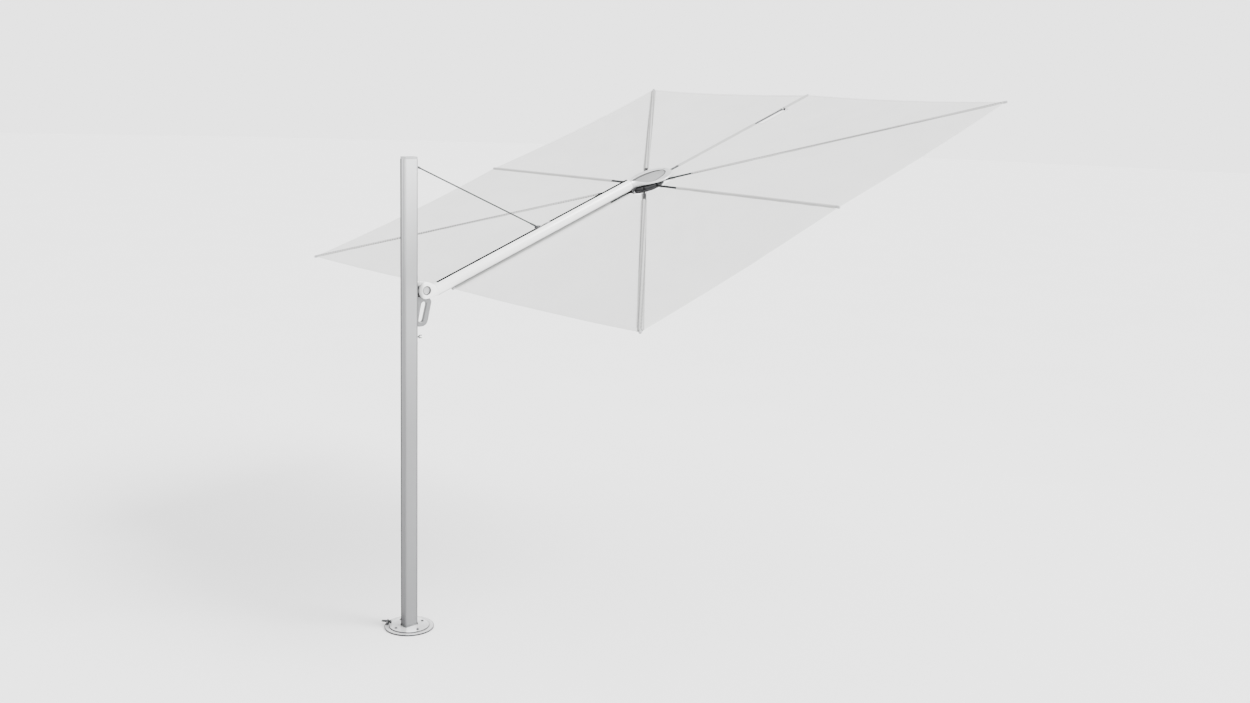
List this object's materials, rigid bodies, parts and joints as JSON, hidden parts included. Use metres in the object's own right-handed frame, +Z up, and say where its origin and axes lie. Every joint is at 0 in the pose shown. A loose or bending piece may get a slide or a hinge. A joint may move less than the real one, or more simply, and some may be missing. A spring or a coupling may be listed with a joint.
{
  "type": "cantilever parasol",
  "caption": "Side-post parasol with a square flat canopy on radial ribs, a sloping boom hung from a stay, a sliding hinge carriage and a turning base plate.",
  "frame": {"origin": "middle of the mast on the underside of the base plate", "axes": "+X points from the mast towards the canopy, along the boom's plane; +Z is up"},
  "size_m": [3.2205, 3.0172, 2.9446],
  "materials": {
    "mast_alloy": "satin anodised extrusion with fine draw lines",
    "white_coat": "satin powder coat",
    "plate_coat": "glossy powder coat",
    "cast_alloy": "fine cast and lacquered",
    "dark_cast": "black satin coat",
    "black_plastic": "fine moulded grain",
    "grey_plastic": "fine moulded grain",
    "nylon": "smooth bearing plastic",
    "steel": "ground stainless",
    "rib_alloy": "grey anodised",
    "canopy_cloth": "plain woven awning cloth with a matt face"
  },
  "bodies": {
    "base": {"base_plate": "plate_coat", "base_spigot": "steel", "lock_bracket": "dark_cast", "lock_pin": "steel"},
    "lock_lever": {"lock_pedal": "dark_cast"},
    "mast": {"turntable_disc": "plate_coat", "turntable_screw_1": "dark_cast", "turntable_screw_2": "dark_cast", "turntable_screw_3": "dark_cast", "turntable_screw_4": "dark_cast", "foot_collar": "grey_plastic", "mast_tube": "mast_alloy", "mast_cap": "grey_plastic", "lower_bush": "nylon", "upper_bush": "nylon", "stay_pin": "steel"},
    "stay": {"stay_rod": "steel"},
    "boom": {"boom_knuckle": "white_coat", "boom_tube": "white_coat", "boom_head": "cast_alloy", "stay_lug": "dark_cast", "stay_lug_pin": "steel", "hub_pin_left": "steel", "hub_pin_right": "steel"},
    "carriage": {"carriage_bracket": "dark_cast", "slider_shoe_upper": "nylon", "slider_shoe_lower": "nylon", "hinge_pin": "steel", "hinge_cap_left": "cast_alloy", "hinge_cap_right": "cast_alloy", "strap_cleat": "dark_cast"},
    "handle": {"release_handle": "cast_alloy"},
    "hub": {"hub_body": "black_plastic", "hub_retainer": "black_plastic"},
    "rib_1": {"rib_1": "rib_alloy", "rib_cap_1": "grey_plastic", "canopy_panel_1": "canopy_cloth", "grab_ring": "cast_alloy", "grab_knob": "black_plastic"},
    "rib_2": {"rib_2": "rib_alloy", "rib_cap_2": "grey_plastic", "canopy_panel_2": "canopy_cloth"},
    "rib_3": {"rib_3": "rib_alloy", "rib_cap_3": "grey_plastic", "canopy_panel_3": "canopy_cloth"},
    "rib_4": {"rib_4": "rib_alloy", "rib_cap_4": "grey_plastic", "canopy_panel_4": "canopy_cloth"},
    "rib_5": {"rib_5": "rib_alloy", "rib_cap_5": "grey_plastic", "canopy_panel_5": "canopy_cloth"},
    "rib_6": {"rib_6": "rib_alloy", "rib_cap_6": "grey_plastic", "canopy_panel_6": "canopy_cloth"},
    "rib_7": {"rib_7": "rib_alloy", "rib_cap_7": "grey_plastic", "canopy_panel_7": "canopy_cloth"},
    "rib_8": {"rib_8": "rib_alloy", "rib_cap_8": "grey_plastic", "canopy_panel_8": "canopy_cloth"}
  },
  "joints": [
    {"name": "mast_swivel", "type": "hinge", "parent": "base", "child": "mast", "pos_m": [0, 0, 0], "axis": [0, 0, 1], "continuous": true},
    {"name": "lock_press", "type": "hinge", "parent": "base", "child": "lock_lever", "pos_m": [-0.08776, 0.08184, 0.027], "axis": [-0.682, -0.7314, 0], "range_deg": [0, 10]},
    {"name": "stay_swing", "type": "hinge", "parent": "mast", "child": "stay", "pos_m": [0.024, 0, 2.526], "axis": [0, 1, 0], "range_deg": [0, 62.6]},
    {"name": "boom_swing", "type": "hinge", "parent": "stay", "child": "boom", "pos_m": [0.84386, 0, 2.16698], "axis": [0, 1, 0], "range_deg": [-131.62, 0]},
    {"name": "carriage_pivot", "type": "hinge", "parent": "boom", "child": "carriage", "pos_m": [0.0925, 0, 1.868], "axis": [0, 1, 0], "range_deg": [0, 69.02]},
    {"name": "handle_release", "type": "hinge", "parent": "carriage", "child": "handle", "pos_m": [0.0925, 0, 1.868], "axis": [0, -1, 0], "range_deg": [0, 8]},
    {"name": "hub_fold", "type": "hinge", "parent": "boom", "child": "hub", "pos_m": [1.53183, 0, 2.3431], "axis": [0, 1, 0], "range_deg": [0, 90.01]},
    {"name": "rib_fold_1", "type": "hinge", "parent": "hub", "child": "rib_1", "pos_m": [1.73723, 0, 2.42191], "axis": [0, 1, 0], "range_deg": [0, 90.01], "deforming": ["canopy_panel_1"]},
    {"name": "rib_fold_2", "type": "hinge", "parent": "hub", "child": "rib_2", "pos_m": [1.71064, 0.06989, 2.4117], "axis": [-0.6525, 0.7152, -0.2504], "range_deg": [0, 90.01], "deforming": ["canopy_panel_2"]},
    {"name": "rib_fold_3", "type": "hinge", "parent": "hub", "child": "rib_3", "pos_m": [1.64293, 0.1, 2.38573], "axis": [-0.9336, -0.01, -0.3582], "range_deg": [0, 90.01], "deforming": ["canopy_panel_3"]},
    {"name": "rib_fold_4", "type": "hinge", "parent": "hub", "child": "rib_4", "pos_m": [1.57863, 0.07154, 2.36106], "axis": [-0.6679, -0.6987, -0.2563], "range_deg": [0, 90.01], "deforming": ["canopy_panel_4"]},
    {"name": "rib_fold_5", "type": "hinge", "parent": "hub", "child": "rib_5", "pos_m": [1.5505, 0, 2.35026], "axis": [0, -1, 0], "range_deg": [0, 90.01], "deforming": ["canopy_panel_5"]},
    {"name": "rib_fold_6", "type": "hinge", "parent": "hub", "child": "rib_6", "pos_m": [1.57863, -0.07154, 2.36106], "axis": [0.6679, -0.6987, 0.2563], "range_deg": [0, 90.01], "deforming": ["canopy_panel_6"]},
    {"name": "rib_fold_7", "type": "hinge", "parent": "hub", "child": "rib_7", "pos_m": [1.64293, -0.1, 2.38573], "axis": [0.9336, -0.01, 0.3582], "range_deg": [0, 90.01], "deforming": ["canopy_panel_7"]},
    {"name": "rib_fold_8", "type": "hinge", "parent": "hub", "child": "rib_8", "pos_m": [1.71064, -0.06989, 2.4117], "axis": [0.6525, 0.7152, 0.2504], "range_deg": [0, 90.01], "deforming": ["canopy_panel_8"]}
  ],
  "couplings": [
    {"joint": "boom_swing", "follows": "stay_swing", "ratio": -2.1023},
    {"joint": "carriage_pivot", "follows": "stay_swing", "ratio": 1.1023},
    {"joint": "hub_fold", "follows": "stay_swing", "ratio": 1.4376},
    {"joint": "rib_fold_1", "follows": "stay_swing", "ratio": 1.4376},
    {"joint": "rib_fold_2", "follows": "stay_swing", "ratio": 1.4376},
    {"joint": "rib_fold_3", "follows": "stay_swing", "ratio": 1.4376},
    {"joint": "rib_fold_4", "follows": "stay_swing", "ratio": 1.4376},
    {"joint": "rib_fold_5", "follows": "stay_swing", "ratio": 1.4376},
    {"joint": "rib_fold_6", "follows": "stay_swing", "ratio": 1.4376},
    {"joint": "rib_fold_7", "follows": "stay_swing", "ratio": 1.4376},
    {"joint": "rib_fold_8", "follows": "stay_swing", "ratio": 1.4376}
  ]
}
